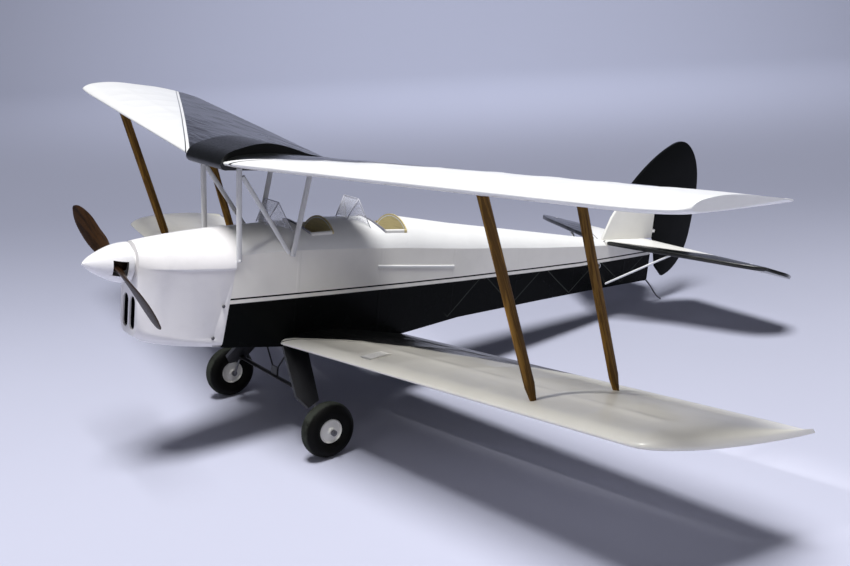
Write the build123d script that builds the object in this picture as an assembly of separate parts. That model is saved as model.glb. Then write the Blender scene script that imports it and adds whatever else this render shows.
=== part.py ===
from build123d import *
import os
from math import cos, radians, sin, sqrt

# Rubber-powered flying scale biplane, millimetres.
# It is drawn in the flight frame: +X port, +Y aft, +Z up, the thrust line along Y through
# the spinner's tip. write_nodes() then pitches it to its three-point stance on the ground.

GROUND_PITCH = 9.68          # nose-up angle of the thrust line on wheels and skid

# nose
PROP_Y = 26.0                # plane of the propeller's hub
PROP_RADIUS = 99.0
BLADE_LEAN = -17.3           # blade line's angle from +X at rest
SPINNER_RADIUS = 16.5
SPINNER_LENGTH = 36.5
WIRE_R = 0.8                 # propeller shaft
RUNNING = 0.05               # radial clearance of every shaft in its hole
COWL_FRONT = 40.0
COWL_SKIN = 1.0
COWL_REAR_TOP = 122.0        # the cowl's rear edge slants from here ...
COWL_REAR_LOW = 109.0        # ... to here at the belly
FIREWALL_Y = 98.0
PLUG_R = 8.0
HOOK_R = 4.0

# fuselage: y, half width, belly, upper longeron, deck top
STATIONS = [
    (96, 29.0, -67.6, 6.0, 24.2),
    (112, 30.0, -69.0, 8.0, 26.6),
    (165, 30.5, -72.5, 11.0, 31.0),
    (214, 30.5, -72.3, 11.5, 34.4),
    (293, 29.5, -71.0, 10.0, 35.1),
    (360, 27.0, -60.5, 7.0, 27.0),
    (476, 19.0, -52.0, 2.8, 15.8),
    (572, 10.8, -46.3, 1.0, 6.2),
    (651, 3.6, -42.6, 1.0, 1.4),
]
FORMERS = [  # y, then the window's half width, bottom and top
    (150, 20, -58, 2), (216, 20, -58, 2), (251, 20, -58, 2), (295, 20, -58, 2),
    (330, 17, -52, 2), (378, 15, -44, 0), (427, 12, -36, -2), (482, 9, -30, -6),
    (530, 8, -32, -9),
]
UPRIGHTS = (135, 190, 236, 318, 348, 392, 434, 505, 590, 622)
SKIN = 0.8
STRIP = 4.0                  # square longeron
DECK_END = 572.0
TAIL_END = 651.0
POST_END = 655.0
MOTOR_PEG = (560.0, -20.0)   # y, z
PEG_R = 3.0
PEG_BORE_R = 2.0
PEG_HALF = 15.0

# cockpits: opening's front and rear edge
COCKPITS = {"front": (181.0, 213.0), "rear": (258.0, 292.0)}
OPENING_HALF = 23.0
FLOOR_Z = 9.0

# wings: root x, where the tip curve starts, tip x, leading edge y and its sweep per mm,
# base height and its rise per mm, incidence at the centre and its change at x = 400;
# at the tip: where the front corner's curve starts, how far front and rear draw in, how far
# the base rises, the share of thickness lost and how much fuller the rear half gets
CHORD = 132.0
THICK = 12.0
UPPER = {"root": 32.0, "bend": 393.0, "tip": 448.0, "le": 96.2, "sweep": 0.133,
         "base": 78.1, "rise": 0.065, "inc": -1.3, "twist": -1.44,
         "corner": 438.0, "front": 9.0, "rear": 50.0, "lift": 4.5, "thin": 0.375, "full": 0.45}
LOWER = {"root": 30.6, "bend": 394.0, "tip": 434.0, "le": 161.0, "sweep": 0.100,
         "base": -75.2, "rise": 0.078, "inc": -0.1, "twist": -1.1,
         "corner": 394.0, "front": 132.0, "rear": 0.0, "lift": 0.0, "thin": 0.75, "full": 0.0}
TIP_TURNS = (25, 45, 62, 75, 84)
RIB = 1.6
TOP_CURVE = [(1, 0.08), (0.75, 0.52), (0.5, 0.9), (0.3, 1), (0.12, 0.86), (0.04, 0.64),
             (0, 0.3), (0.04, 0.08), (0.12, 0)]
TANK_SIDE = [(98, 84), (102, 90.5), (114, 96), (127, 99.6), (142, 101), (158, 98.8),
             (176, 94), (200, 89), (229, 83.6)]

# struts: top and foot
STRUTS = {"front": ((296.0, 147.1, 98.4), (302.0, 205.0, -40.0)),
          "rear": ((296.0, 232.0, 101.0), (302.0, 287.0, -42.0))}
CABANE_FRONT = ((33.0, 114.0, 82.0), (32.0, 119.5, 3.6))
CABANE_REAR = ((33.0, 181.5, 84.0), (31.9, 169.5, 6.7))

# landing gear
WHEEL = (89.3, 180.4, -129.6)
TYRE_R = 24.0
TYRE_W = 16.0
HUB_R = 10.5
AXLE_R = 1.0
LEG_SUM = -43.0              # each leg lies in the plane x + z = this
LEG_T = 3.0
SPREADER = (178.0, -108.5)   # y, z

# tail
SKID_Z = -66.8
STAB_Z = 3.5
STAB_T = 4.6
ELEVATOR_AXIS_Y = 645.0
ELEVATOR_T = 3.6
ELEVATOR_DROOP = 14.0        # how far the elevators hang below level at rest
RUDDER_AXIS_Y = 657.2
RUDDER_T = 3.2
HINGE_ROD_R = 0.8
TAB = 3.0
ELEVATOR_TABS = (25.0, 85.0, 145.0)
RUDDER_TABS = (14.0, 36.0, 57.0)

nodes = {}


# ---- helpers -------------------------------------------------------------------------
def prism(points, direction):
    """A straight prism from a closed 3-D polygon."""
    return Solid.extrude(Face(Wire.make_polygon(points)), Vector(direction))


def prism_x(yz, low, high):
    return prism([(low, y, z) for y, z in yz], (high - low, 0, 0))


def prism_z(xy, low, high):
    return prism([(x, y, low) for x, y in xy], (0, 0, high - low))


def block(low, high):
    size = [b - a for a, b in zip(low, high)]
    centre = [(a + b) / 2 for a, b in zip(low, high)]
    return Pos(*centre) * Box(*size)


def rod(start, end, radius):
    line = Vector(*end) - Vector(*start)
    return Solid.make_cylinder(radius, line.length, Plane(start, z_dir=line))


def bar(start, end, width, thick, across=(0, 1, 0)):
    """A streamlined strut: an ellipse, its long side towards `across`."""
    line = Vector(*end) - Vector(*start)
    plane = Plane(start, x_dir=across, z_dir=line)
    return extrude(plane * Ellipse(width / 2, thick / 2), line.length)


def tapered_strut(start, end, width, thick):
    """A streamlined strut whose lower end narrows into its socket."""
    line = Vector(*end) - Vector(*start)
    wires = []
    for run, part in ((0, 0.5), (13, 1), (line.length, 1)):
        plane = Plane(Vector(*start) + line.normalized() * run, x_dir=(0, 1, 0), z_dir=line)
        wires.append((plane * Ellipse(width / 2 * part, thick / 2)).wire())
    return Solid.make_loft(wires, True)


def pin_x(y, z, low, high, radius):
    return rod((low, y, z), (high, y, z), radius)


def mirrored(shape):
    return mirror(shape, about=Plane.YZ)


def both_sides(name, shape):
    nodes[f"{name}_port"] = shape
    nodes[f"{name}_starboard"] = mirrored(shape)


def group(*shapes):
    """Separate solids of one node."""
    return Compound([solid for shape in shapes for solid in shape.solids()])


# ---- fuselage ------------------------------------------------------------------------
def body_at(y):
    """Half width, belly, longeron height and deck height at station y."""
    for a, b in zip(STATIONS, STATIONS[1:]):
        if y <= b[0]:
            part = (y - a[0]) / (b[0] - a[0])
            return [p + part * (q - p) for p, q in zip(a[1:], b[1:])]
    return list(STATIONS[-1][1:])


def station_ys(start, end):
    inner = [row[0] for row in STATIONS if start < row[0] < end]
    return [start] + inner + [end]


def body_loft(start, end, wire):
    return Solid.make_loft([wire(y, *body_at(y)) for y in station_ys(start, end)], True)


def deck_wire(y, w, belly, side, top, grow=0.0):
    arc = Edge.make_three_point_arc((w + grow, y, side), (0, y, top + grow),
                                    (-w - grow, y, side))
    return Wire([arc, Edge.make_line((-w - grow, y, side), (w + grow, y, side))])


def hull_wire(y, w, belly, side, top):
    return Wire.make_polygon([(w, y, belly), (w, y, side), (-w, y, side), (-w, y, belly)])


def deck_solid(start, end, grow=0.0):
    return body_loft(start, end, lambda y, *row: deck_wire(y, *row, grow=grow))


def side_wall(start, end):
    def wire(y, w, belly, side, top):
        return Wire.make_polygon([(w - SKIN, y, belly), (w, y, belly), (w, y, side),
                                  (w - SKIN, y, side)])
    return body_loft(start, end, wire)


def belly_panel(start, end):
    def wire(y, w, belly, side, top):
        inner = w - SKIN
        return Wire.make_polygon([(-inner, y, belly), (inner, y, belly),
                                  (inner, y, belly + SKIN), (-inner, y, belly + SKIN)])
    return body_loft(start, end, wire)


def longeron(upper):
    def wire(y, w, belly, side, top):
        out = w - SKIN
        size = min(STRIP, out - 0.6)
        low = side - STRIP if upper else belly + SKIN
        return Wire.make_polygon([(out - size, y, low), (out, y, low),
                                  (out, y, low + STRIP), (out - size, y, low + STRIP)])
    return body_loft(FIREWALL_Y + 3, TAIL_END, wire)


def cowl_rear_y(z):
    return COWL_REAR_LOW + (z + 70) * (COWL_REAR_TOP - COWL_REAR_LOW) / 97.6


def ahead_of_cowl_edge():
    return prism_x([(0, 60), (cowl_rear_y(60), 60), (cowl_rear_y(-100), -100), (0, -100)],
                   -60, 60)


def opening_prism(start, end, grow=0.0, low=0.0, high=60.0):
    """The plan shape of a cockpit: a rounded front and a straight back."""
    half = OPENING_HALF + grow
    front, rear, bend = start - grow, end + grow, 11 + grow
    edges = [Edge.make_line((half, rear, low), (half, front + bend, low)),
             Edge.make_three_point_arc((half, front + bend, low), (0, front, low),
                                       (-half, front + bend, low)),
             Edge.make_line((-half, front + bend, low), (-half, rear, low)),
             Edge.make_line((-half, rear, low), (half, rear, low))]
    return Solid.extrude(Face(Wire(edges)), Vector(0, 0, high - low))


def make_fuselage():
    start = COWL_REAR_LOW - 6
    cut = ahead_of_cowl_edge()
    wall = side_wall(start, TAIL_END)
    peg_hole = pin_x(*MOTOR_PEG, -40, 40, PEG_R)
    both_sides("side_cover", wall - cut - peg_hole)
    nodes["belly_cover"] = belly_panel(start, TAIL_END) - cut

    deck = deck_solid(start, DECK_END) - deck_solid(start, DECK_END, grow=-SKIN)
    openings = [opening_prism(*ends) for ends in COCKPITS.values()]
    nodes["deck_cover"] = deck - cut - openings

    upper, lower = longeron(True), longeron(False)
    frame = [upper, mirrored(upper), lower, mirrored(lower)]
    for y in UPRIGHTS:
        frame += side_frame(y)
    post_half = 2.0
    frame.append(block((-post_half, TAIL_END - 8, -41.7), (post_half, POST_END, 1.0)))
    cowl_wall = cowl_solid(FIREWALL_Y, 124, -0.2) - cowl_solid(FIREWALL_Y, 124, COWL_SKIN + 0.1)
    nodes["fuselage_frame"] = frame[0].fuse(*frame[1:]) - (cowl_wall & cut)
    make_formers()


def side_frame(y):
    """Uprights and cross pieces between the longerons at one station."""
    rows = [body_at(y), body_at(y + 3)]
    w, belly = min(r[0] for r in rows) - SKIN - 0.1, max(r[1] for r in rows) + SKIN
    side = min(r[2] for r in rows)
    low, high = belly + 1, side - 1
    pieces = [block((w - 3, y, low), (w, y + 3, high)),
              block((-w, y, low), (3 - w, y + 3, high)),
              block((1 - w, y, belly + 0.5), (w - 1, y + 3, belly + 3))]
    if y > 300:
        pieces.append(block((1 - w, y, side - 3.5), (w - 1, y + 3, side - 0.5)))
    return pieces


def former(y, half, low, high):
    """A plate inside the covers, with a window for the rubber motor."""
    thick = 2.4
    rows = [body_at(y), body_at(y + thick)]
    gap = SKIN + 0.15
    w = min(r[0] for r in rows) - gap
    belly = max(r[1] for r in rows) + gap
    side = min(r[2] for r in rows)
    crown = min(r[3] for r in rows) - gap
    edges = [Edge.make_line((w, y, side), (w, y, belly)),
             Edge.make_line((w, y, belly), (-w, y, belly)),
             Edge.make_line((-w, y, belly), (-w, y, side)),
             Edge.make_three_point_arc((-w, y, side), (0, y, crown), (w, y, side))]
    plate = Solid.extrude(Face(Wire(edges)), Vector(0, thick, 0))
    return plate - block((-half, y - 1, low), (half, y + thick + 1, high))


def make_formers():
    frame = nodes["fuselage_frame"]
    nodes["formers"] = group(*[former(*row) - frame for row in FORMERS])


def make_cockpits():
    trays, backs, rings = [], [], []
    frame = nodes["fuselage_frame"]
    for start, end in COCKPITS.values():
        w = OPENING_HALF + 0.6
        floor = block((-w, start - 1.5, FLOOR_Z), (w, end - 0.3, FLOOR_Z + 1.2))
        panel = half_disc(start - 1.5, 1.4, FLOOR_Z + 1.2)
        trays.append(floor.fuse(panel) - frame)
        backs.append(half_disc(end, 1.6, FLOOR_Z - 2) - frame)
        shell = deck_solid(start - 6, end + 6, grow=1.4) - deck_solid(start - 6, end + 6)
        ring = opening_prism(start, end, grow=1.0) - opening_prism(start, end)
        rings.append(shell & ring)
    nodes["cockpit_trays"] = group(*trays)
    nodes["cockpit_backs"] = group(*backs)
    nodes["cockpit_coamings"] = group(*rings)


def half_disc(y, thick, low):
    """A half-round plate under the deck skin."""
    rows = [body_at(y), body_at(y + thick)]
    w = min(r[0] for r in rows) - SKIN - 0.1
    side = min(r[2] for r in rows)
    crown = min(r[3] for r in rows) - SKIN - 0.1
    edges = [Edge.make_line((w, y, side), (w, y, low)), Edge.make_line((w, y, low), (-w, y, low)),
             Edge.make_line((-w, y, low), (-w, y, side)),
             Edge.make_three_point_arc((-w, y, side), (0, y, crown), (w, y, side))]
    return Solid.extrude(Face(Wire(edges)), Vector(0, thick, 0))


def windscreen(base_y, top_y, height):
    """A wide sheet leaning back and a triangle each side of it, standing on the deck."""
    foot, head = Vector(6, base_y, 14), Vector(12, top_y, height)
    rear = Vector(20.5, top_y + 11, 25)
    heel = rear + (foot - head) * 0.3
    inward = (rear - foot).cross(head - foot).normalized() * -0.6
    if inward.X > 0:
        inward = inward * -1
    side = prism([foot, head, rear, heel], inward)
    lean = (head - foot).cross(Vector(1, 0, 0)).normalized() * 0.6
    if lean.Y < 0:
        lean = lean * -1
    others = [Vector(-p.X, p.Y, p.Z) for p in (head, foot)]
    centre = prism([foot, head] + others, lean)
    return centre.fuse(side, mirrored(side)) - deck_solid(base_y - 10, base_y + 60, grow=1.45)


def make_windscreens():
    nodes["front_windscreen"] = windscreen(147.6, 164.0, 49.5)
    nodes["rear_windscreen"] = windscreen(226.4, 245.0, 52.5)


def side_strip():
    """A raised strip along the fuselage side."""
    def wire(y, w, *rest):
        z = -5.9 - (y - 259.5) * 0.043
        return Wire.make_polygon([(w, y, z - 1.2), (w + 0.8, y, z - 0.8), (w + 0.8, y, z + 0.8),
                                  (w, y, z + 1.2)])
    return body_loft(259.5, 349.5, wire)


# ---- cowl and nose -------------------------------------------------------------------
COWL_ROWS = [  # y, half width, crown, chin, side step under the crease, corner radius
    (40, 17.2, 17.2, -59.0, 0.15, 11.0),
    (46, 20.5, 18.4, -62.6, 0.2, 11.0),
    (58, 25.0, 20.4, -65.2, 0.6, 10.0),
    (78, 29.0, 23.2, -67.4, 1.2, 8.0),
    (100, 31.0, 25.8, -68.9, 1.4, 6.0),
    (124, 31.8, 28.2, -70.2, 1.4, 5.0),
]


def cowl_wire(y, half, top, chin, step, corner, inset):
    half, top, chin = half - inset, top - inset, chin + inset
    low = half - step
    knee, bulge = -3.4, -1.8
    r = corner
    k = r * (1 - sqrt(0.5))
    right = [Edge.make_three_point_arc((low - r, y, chin), (low - k, y, chin + k),
                                       (low, y, chin + r)),
             Edge.make_line((low, y, chin + r), (low, y, knee)),
             Edge.make_line((low, y, knee), (half, y, bulge))]
    crown = Edge.make_three_point_arc((half, y, bulge), (0, y, top), (-half, y, bulge))
    left = [Edge.make_line((-half, y, bulge), (-low, y, knee)),
            Edge.make_line((-low, y, knee), (-low, y, chin + r)),
            Edge.make_three_point_arc((-low, y, chin + r), (k - low, y, chin + k),
                                      (r - low, y, chin))]
    base = Edge.make_line((r - low, y, chin), (low - r, y, chin))
    return Wire(right + [crown] + left + [base])


def cowl_row(y):
    for a, b in zip(COWL_ROWS, COWL_ROWS[1:]):
        if y <= b[0]:
            part = (y - a[0]) / (b[0] - a[0])
            return [p + part * (q - p) for p, q in zip(a[1:], b[1:])]


def cowl_solid(start, end, inset):
    ys = [start] + [row[0] for row in COWL_ROWS if start < row[0] < end] + [end]
    return Solid.make_loft([cowl_wire(y, *cowl_row(y), inset) for y in ys], True)


def make_cowl():
    shell = cowl_solid(COWL_FRONT, 124, 0) - cowl_solid(COWL_FRONT + 1.4, 124, COWL_SKIN)
    slot = block((1.6, 0, -48.6), (12.2, COWL_FRONT + 6, -31.6))
    slot = slot.fuse(*[rod((6.9, 0, z), (6.9, COWL_FRONT + 6, z), 5.3) for z in (-48.6, -31.6)])
    plug_hole = rod((0, 30, 0), (0, 60, 0), PLUG_R + 0.1)
    behind = prism_x([(cowl_rear_y(60), 60), (160, 60), (160, -100), (cowl_rear_y(-100), -100)],
                     -60, 60)
    nodes["cowl"] = shell - behind - slot - mirrored(slot) - plug_hole

    front = cowl_solid(COWL_FRONT + 1.5, COWL_FRONT + 5, COWL_SKIN + 0.1)
    front = front - plug_hole - slot - mirrored(slot)
    wall = cowl_solid(FIREWALL_Y, FIREWALL_Y + 3, COWL_SKIN + 0.25)
    nodes["nose_bulkheads"] = group(front, wall - block((-18, 90, -50), (18, 110, 12)))

    screws = []
    for y, z in ((100.5, -60.0), (108.5, -33.5), (111.5, 6.0)):
        x = cowl_row(y)[0] - (cowl_row(y)[3] if z < -2 else 3.0)
        screws.append(rod((x - 1.6, y, z), (x + 0.7, y, z), 1.1))
    screws += [mirrored(s) for s in screws]
    for name in ("cowl", "nose_bulkheads", "fuselage_frame"):
        nodes[name] = nodes[name] - screws
    nodes["cowl_screws"] = group(*screws)


def make_plug_and_bearing():
    flange = rod((0, 38.8, 0), (0, COWL_FRONT, 0), PLUG_R + 3)
    body = rod((0, COWL_FRONT, 0), (0, 52, 0), PLUG_R)
    hole = rod((0, 30, 0), (0, 60, 0), 1.7)
    nodes["nose_plug"] = flange.fuse(body) - hole
    tube = rod((0, 38.3, 0), (0, 53, 0), 1.7)
    nodes["thrust_bearing"] = tube - rod((0, 30, 0), (0, 60, 0), WIRE_R + RUNNING)


def hook():
    """Shaft with a closed ring at its rear end for the rubber motor."""
    centre = 58 + HOOK_R
    ring = Pos(0, centre, 0) * Rot(0, 90, 0) * Torus(HOOK_R, WIRE_R)
    return rod((0, 12, 0), (0, centre - HOOK_R, 0), WIRE_R).fuse(ring)


def blade():
    """One twisted blade out along +X: y is the shaft's direction."""
    rows = [(5.0, 8.6, 4.4, 66), (14.0, 9.8, 4.0, 56), (34.0, 15.5, 3.2, 36),
            (60.0, 18.0, 2.5, 23), (80.0, 15.8, 2.0, 18), (93.0, 9.6, 1.4, 15),
            (PROP_RADIUS, 3.0, 1.0, 14)]
    wires = []
    for radius, chord, thick, pitch in rows:
        chord_dir = Vector(0, sin(radians(pitch)), -cos(radians(pitch)))
        plane = Plane((radius, PROP_Y, 0), x_dir=chord_dir, z_dir=(1, 0, 0))
        wires.append((plane * Ellipse(chord / 2, thick / 2)).wire())
    return Solid.make_loft(wires, False)


def make_propeller():
    lean = Rot(0, -BLADE_LEAN, 0)
    one = blade()
    two = one.rotate(Axis((0, PROP_Y, 0), (0, 1, 0)), 180)
    hub = rod((0, 21.5, 0), (0, 34.6, 0), 6.6)
    shaft_hole = rod((0, 0, 0), (0, 60, 0), WIRE_R)
    nodes["propeller"] = lean * (hub.fuse(one, two) - shaft_hole)

    def cone(shrink):
        tip, r = shrink * 2.2, SPINNER_RADIUS - shrink
        rise = Edge.make_spline([(0, tip, 0), (r * 0.28, tip + 4.5, 0), (r * 0.58, 12.5, 0),
                                 (r * 0.86, 23, 0), (r, SPINNER_LENGTH, 0)])
        edges = [rise, Edge.make_line((r, SPINNER_LENGTH, 0), (0, SPINNER_LENGTH, 0)),
                 Edge.make_line((0, SPINNER_LENGTH, 0), (0, tip, 0))]
        return Solid.revolve(Face(Wire(edges)), 360, Axis.Y)

    slot = block((5, 21, -4.4), (30, 32.5, 8.0))
    slot = slot.fuse(slot.rotate(Axis.Y, 180))
    backplate = rod((0, 34.7, 0), (0, SPINNER_LENGTH, 0), SPINNER_RADIUS - 0.5)
    shell = cone(0) - cone(1.0) - slot
    nodes["spinner"] = lean * (shell.fuse(backplate) - shaft_hole)
    nodes["prop_shaft"] = lean * hook()
    washers = [rod((0, y, 0), (0, y + 0.6, 0), 2.6) - shaft_hole for y in (36.6, 37.4)]
    nodes["thrust_washers"] = group(*washers)


def make_motor():
    y, z = MOTOR_PEG
    tube = pin_x(y, z, -PEG_HALF, PEG_HALF, PEG_R)
    nodes["motor_peg"] = tube - pin_x(y, z, -20, 20, PEG_BORE_R)
    loop_y = 58 + 2 * HOOK_R
    front = (0, loop_y + 3.5, -0.1)
    rear = (0, y - 4.4, z + 0.2)
    bundle = rod(front, rear, 3.6)
    rear_loop = pin_x(y, z, -3.2, 3.2, PEG_R + 2.6) - pin_x(y, z, -4, 4, PEG_R + 0.05)
    front_loop = rod((0, loop_y + 0.4, -2), (0, loop_y + 0.4, 2), 4.6)
    front_loop = front_loop - rod((0, loop_y, -3), (0, loop_y, 3), 2.1)
    bundle = bundle - pin_x(y, z, -8, 8, PEG_R + 0.05)
    nodes["rubber_motor"] = bundle.fuse(rear_loop, front_loop)


# ---- wings ---------------------------------------------------------------------------
def turned(start, end, x):
    """0 up to the curve's start, 1 at its end, along a quarter ellipse."""
    part = max(0.0, (x - start) / (end - start))
    return 1 - sqrt(1 - part * part)


def wing_row(wing, x):
    """Incidence, front and rear edges, lift, thickness and fullness of the section at x."""
    turn = turned(wing["bend"], wing["tip"], x)
    front = wing["front"] * turned(wing["corner"], wing["tip"], x)
    rear = CHORD - wing["rear"] * turn
    thick = THICK * (1 - wing["thin"] * turn)
    inc = radians(wing["inc"] + wing["twist"] * x / 400)
    return inc, front, rear, wing["lift"] * turn, thick, wing["full"] * turn


def on_section(wing, x, s, h):
    """The point s behind the leading edge's line and h over the base line at span x."""
    inc = wing_row(wing, x)[0]
    le, base = wing["le"] + wing["sweep"] * x, wing["base"] + wing["rise"] * x
    return (x, le + s * cos(inc) + h * sin(inc), base - s * sin(inc) + h * cos(inc))


def wing_wire(wing, x, lead=0.0, tail=0.0, inset=0.0):
    inc, front, rear, lift, thick, full = wing_row(wing, x)
    start, run = front + lead, rear - front - lead - tail
    low, rise = lift + inset, thick - 2 * inset
    points = [on_section(wing, x, start + run * s, low + rise * (h + full * s * s))
              for s, h in TOP_CURVE]
    heel = on_section(wing, x, start + run, low)
    return Wire([Edge.make_spline(points), Edge.make_line(points[-1], heel),
                 Edge.make_line(heel, points[0])])


def wing_xs(wing, start):
    span = wing["tip"] - wing["bend"]
    return [start, wing["bend"]] + [wing["bend"] + span * sin(radians(t)) for t in TIP_TURNS]


def wing_solid(wing, start):
    return Solid.make_loft([wing_wire(wing, x) for x in wing_xs(wing, start)], True)


def wing_hollow(wing, start):
    """The cavity inside the covering."""
    xs = wing_xs(wing, start)[:-2]
    return Solid.make_loft([wing_wire(wing, x, lead=0.8, tail=8.0, inset=0.6) for x in xs], True)


def wing_stick(wing, start, s0, s1, h0, h1):
    """A spanwise stick from the root to the start of the tip."""
    wires = []
    for x in (start, wing["bend"]):
        wires.append(Wire.make_polygon([on_section(wing, x, s, h)
                                        for s, h in ((s0, h0), (s1, h0), (s1, h1), (s0, h1))]))
    return Solid.make_loft(wires, True)


def wing_frame(wing):
    root = wing["root"]
    sticks = [wing_stick(wing, root, 3.0, 7.0, 2.9, 5.2),
              wing_stick(wing, root, 38.0, 41.0, 0.9, 10.4),
              wing_stick(wing, root, CHORD - 24, CHORD - 13, 0.9, 1.9)]
    ribs = [Solid.extrude(Face(wing_wire(wing, root)), Vector(RIB, 0, 0))]
    count = 8
    for i in range(1, count + 1):
        x = root + (wing["bend"] - root) * i / count - RIB
        rib = Face(wing_wire(wing, x, lead=1.1, tail=9.5, inset=0.8))
        ribs.append(Solid.extrude(rib, Vector(RIB, 0, 0)))
    return sticks[0].fuse(*sticks[1:], *ribs)


def make_wings():
    shapes = {}
    for name, wing in (("upper", UPPER), ("lower", LOWER)):
        start = wing["root"] + RIB
        outer = wing_solid(wing, wing["root"])
        cover = wing_solid(wing, start) - wing_hollow(wing, start - 0.5)
        frame = wing_frame(wing)
        both_sides(f"{name}_wing_cover", cover)
        both_sides(f"{name}_wing_frame", frame)
        shapes[name] = outer
    edges = [Edge.make_spline([(-31.9, y, z) for y, z in TANK_SIDE])]
    low = [(229, 82.4), (160, 79.6), (104, 78.4)]
    edges += [Edge.make_line((-31.9, *TANK_SIDE[-1]), (-31.9, *low[0])),
              Edge.make_spline([(-31.9, y, z) for y, z in low]),
              Edge.make_three_point_arc((-31.9, *low[-1]), (-31.9, 98.9, 80.2),
                                        (-31.9, *TANK_SIDE[0]))]
    shapes["tank"] = Solid.extrude(Face(Wire(edges)), Vector(63.8, 0, 0))
    nodes["centre_tank"] = shapes["tank"]
    return shapes


def make_struts(shapes):
    for name, (top, foot) in STRUTS.items():
        reach = (Vector(*top) - Vector(*foot)).normalized() * 3
        strut = tapered_strut(Vector(*foot) - reach, Vector(*top) + reach, 9.0, 4.0)
        keep = strut - shapes["upper"] - shapes["lower"]
        both_sides(f"{name}_strut", max(keep.solids(), key=lambda s: s.volume))
    solids = {}
    for name, (top, foot) in (("front", CABANE_FRONT), ("rear", CABANE_REAR)):
        pole = bar(foot, top, 5.0, 2.6) - shapes["upper"] - shapes["tank"]
        solids[name] = max(pole.solids(), key=lambda s: s.volume)
        nodes[f"cabane_struts_{name}"] = group(solids[name], mirrored(solids[name]))
    top = Vector(*CABANE_FRONT[0]) + Vector(0, 3.5, -8)
    foot = Vector(*CABANE_REAR[1]) + Vector(0, -3.5, 3)
    brace = bar(tuple(foot), tuple(top), 4.0, 2.4)
    brace = brace - solids["front"] - solids["rear"] - shapes["upper"] - shapes["tank"]
    brace = max(brace.solids(), key=lambda s: s.volume)
    nodes["cabane_braces"] = group(brace, mirrored(brace))


# ---- landing gear --------------------------------------------------------------------
def on_leg(y, s):
    """The point of the leg's plane at y, s down the slope from the fuselage's corner."""
    x = 25.0 + s * sqrt(0.5)
    return (x, y, LEG_SUM - x)


def make_gear(shapes, hull):
    outline = [on_leg(167.0, 3), on_leg(190.5, 3), on_leg(182.5, 61.5), on_leg(170.0, 67),
               on_leg(162.5, 55.5)]
    shift = Vector(1, 0, 1) * (LEG_T / 2 * sqrt(0.5))
    leg = prism([tuple(Vector(*p) - shift) for p in outline], tuple(shift * 2))
    leg = leg - hull - shapes["lower"]
    leg = max(leg.solids(), key=lambda s: s.volume)

    x, y, z = WHEEL
    knee = (x - TYRE_W / 2 - 2.4, y, z)
    top = on_leg(178.0, 58.0)
    down = rod(top, knee, AXLE_R)
    out = rod(knee, (x + TYRE_W / 2 + 4.2, y, z), AXLE_R)
    joint = Pos(*knee) * Sphere(AXLE_R)
    axle = down.fuse(joint, out)
    collar_at = x + TYRE_W / 2 + 1.2
    collars = [pin_x(y, z, a, a + 1.8, 2.6) for a in (collar_at, x - TYRE_W / 2 - 2.6)]
    both_sides("axle", axle.fuse(*collars))
    both_sides("gear_leg", leg - axle)

    sy, sz = SPREADER
    reach = LEG_SUM - sz - LEG_T * 0.71 - 0.6
    spreader = bar((-reach, sy, sz), (reach, sy, sz), 5.0, 3.0)
    plate = block((-5, sy - 0.9, sz + 0.5), (5, sy + 0.9, sz + 9))
    wires = [rod((side * 2.5, sy, sz + 6), (side * 27.0, sy, -72.3), 0.8) for side in (-1, 1)]
    legs = leg.fuse(mirrored(leg))
    brace = spreader.fuse(plate, *wires) - legs - hull
    nodes["gear_spreader"] = max(brace.solids(), key=lambda s: s.volume)


def make_wheels():
    x, y, z = WHEEL
    half = TYRE_W / 2
    rim = HUB_R
    section = [(rim, -5.4), (rim + 3.4, -7.4), (rim + 8.6, -7.6), (TYRE_R - 1.2, -4.6), (TYRE_R, 0),
               (TYRE_R - 1.2, 4.6), (rim + 8.6, 7.6), (rim + 3.4, 7.4), (rim, 5.4)]
    points = [(x + a, y, z + r) for r, a in section]
    edges = [Edge.make_spline(points), Edge.make_line(points[-1], points[0])]
    axis = Axis((x, y, z), (1, 0, 0))
    tyre = Solid.revolve(Face(Wire(edges)), 360, axis)

    profile = [(AXLE_R + RUNNING, -half), (3.0, -half), (3.4, -half + 2.6), (rim - 1.4, -half + 3.4),
               (rim - 0.6, -half + 1.6), (rim, -half + 2.6), (rim, half - 2.6),
               (rim - 0.6, half - 1.6), (rim - 1.4, half - 3.4), (3.4, half - 2.6), (3.0, half),
               (AXLE_R + RUNNING, half)]
    face = Face(Wire.make_polygon([(x + a, y, z + r) for r, a in profile]))
    both_sides("tyre", tyre)
    both_sides("wheel_hub", Solid.revolve(face, 360, axis))


# ---- tail ----------------------------------------------------------------------------
def make_stabilizer(hull):
    low, high = STAB_Z - STAB_T / 2, STAB_Z + STAB_T / 2
    rear = ELEVATOR_AXIS_Y - ELEVATOR_T / 2 - 0.4
    points = [(0, 574), (10, 574), (140, 626), (158, 635), (166, rear), (0, rear)]
    half = prism_z(points, low, high)
    plate = half.fuse(mirrored(half))
    nodes["stabilizer"] = plate - hull
    tabs = []
    for side in (-1, 1):
        for at in ELEVATOR_TABS:
            x = side * at
            tab = block((x - TAB / 2, rear, STAB_Z - 1.6),
                        (x + TAB / 2, ELEVATOR_AXIS_Y + 1.6, STAB_Z + 1.6))
            tabs.append(tab - pin_x(ELEVATOR_AXIS_Y, STAB_Z, x - 5, x + 5, HINGE_ROD_R + RUNNING))
    return tabs


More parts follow.
